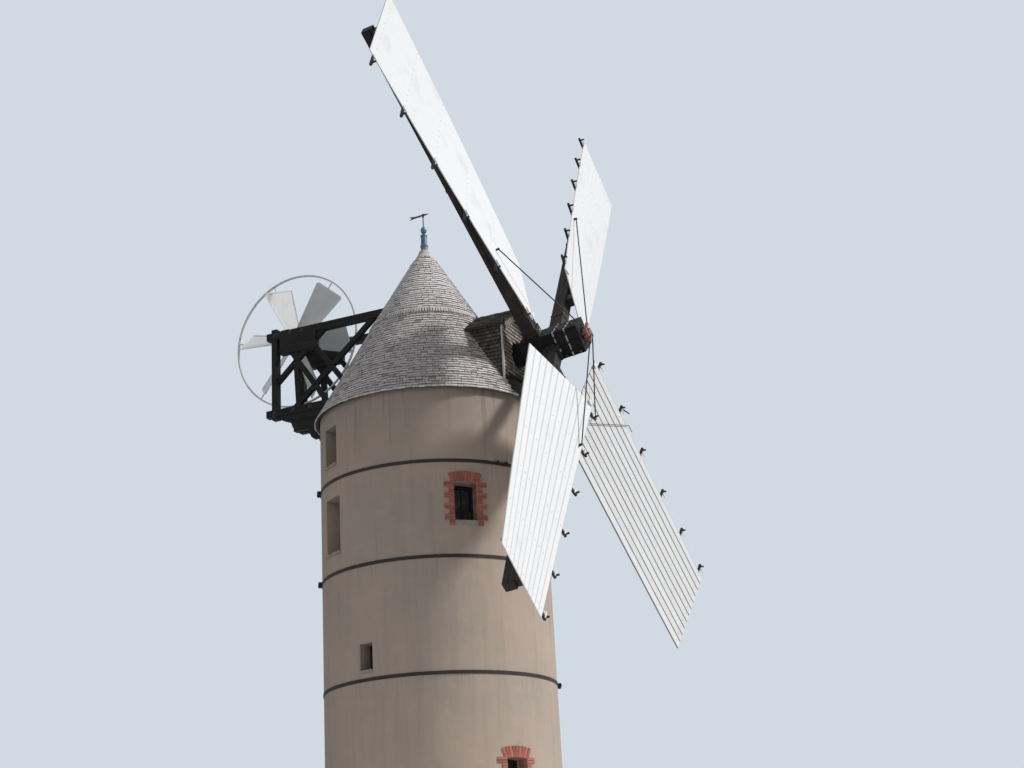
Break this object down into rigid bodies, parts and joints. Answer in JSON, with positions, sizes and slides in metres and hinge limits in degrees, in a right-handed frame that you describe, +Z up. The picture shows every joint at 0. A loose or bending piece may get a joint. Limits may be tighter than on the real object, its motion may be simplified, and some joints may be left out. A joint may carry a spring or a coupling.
{
  "type": "tower windmill with board sails",
  "caption": "Cylindrical masonry tower mill with a conical shingled cap, a shaft dormer, board-covered sails and a fantail carried on a timber gallery behind the cap.",
  "frame": {"origin": "centre of the round tower's foot, on the ground plane", "axes": "+Z up along the tower's axis; -Y towards the sails in the parked cap position; +X to the right seen from the front"},
  "size_m": [13.879, 9.4636, 18.0364],
  "materials": {
    "wall_render": "weathered lime render",
    "floor_stone": "worn",
    "floor_boards": "worn boards",
    "hoop_iron": "rusted",
    "red_brick": "matte",
    "joinery_wood": "weathered",
    "window_glass": "dusty",
    "frame_timber": "rough sawn",
    "shingles": "silvered shingles",
    "zinc": "dull zinc",
    "black_timber": "tarred",
    "black_iron": "painted black",
    "fan_iron": "dull",
    "fan_paint": "white paint",
    "sail_paint": "white paint",
    "red_paint": "worn red paint"
  },
  "bodies": {
    "tower": {"wall_front_left": "wall_render", "wall_front_right": "wall_render", "wall_right": "wall_render", "wall_rear_right": "wall_render", "wall_rear": "wall_render", "wall_left": "wall_render", "ground_floor": "floor_stone", "upper_floors": "floor_boards", "iron_hoops": "hoop_iron", "brick_surrounds": "red_brick", "stone_sills": "floor_stone", "window_frames": "joinery_wood", "window_panes": "window_glass", "door": "joinery_wood", "curb_ring": "frame_timber"},
    "cap": {"cap_ring": "frame_timber", "cap_frame": "frame_timber", "cap_roof_left": "shingles", "cap_roof_right": "shingles", "cap_roof_top": "shingles", "finial": "zinc", "dormer_left_cheek": "shingles", "dormer_right_cheek": "shingles", "dormer_front": "shingles", "dormer_roof": "shingles", "corner_strips": "zinc", "gallery_truss_left": "black_timber", "gallery_truss_right": "black_timber", "gallery_brackets": "black_timber", "gallery_floor": "black_timber", "fan_bearings": "black_iron"},
    "sails": {"windshaft": "black_timber", "stock_a": "black_timber", "stock_b": "black_timber", "sail_boards_1": "sail_paint", "sail_boards_2": "sail_paint", "sail_boards_3": "sail_paint", "sail_boards_4": "sail_paint", "sail_arms": "black_iron", "control_rods": "black_iron", "hub_linkage": "red_paint"},
    "fantail": {"fan_hub": "black_iron", "fan_rim": "fan_iron", "fan_blades": "fan_paint"},
    "vane": {"weathervane": "black_iron"}
  },
  "joints": [
    {"name": "cap_turn", "type": "hinge", "parent": "tower", "child": "cap", "pos_m": [0, 0, 9.97], "axis": [0, 0, 1], "continuous": true},
    {"name": "sails_turn", "type": "hinge", "parent": "cap", "child": "sails", "pos_m": [0, -2.785, 11.04], "axis": [0, -0.9925, 0.1219], "continuous": true},
    {"name": "fan_turn", "type": "hinge", "parent": "cap", "child": "fantail", "pos_m": [0, 3.512, 12.52], "axis": [1, 0, 0], "continuous": true},
    {"name": "vane_turn", "type": "hinge", "parent": "cap", "child": "vane", "pos_m": [0, 0, 14.91], "axis": [0, 0, 1], "continuous": true}
  ]
}
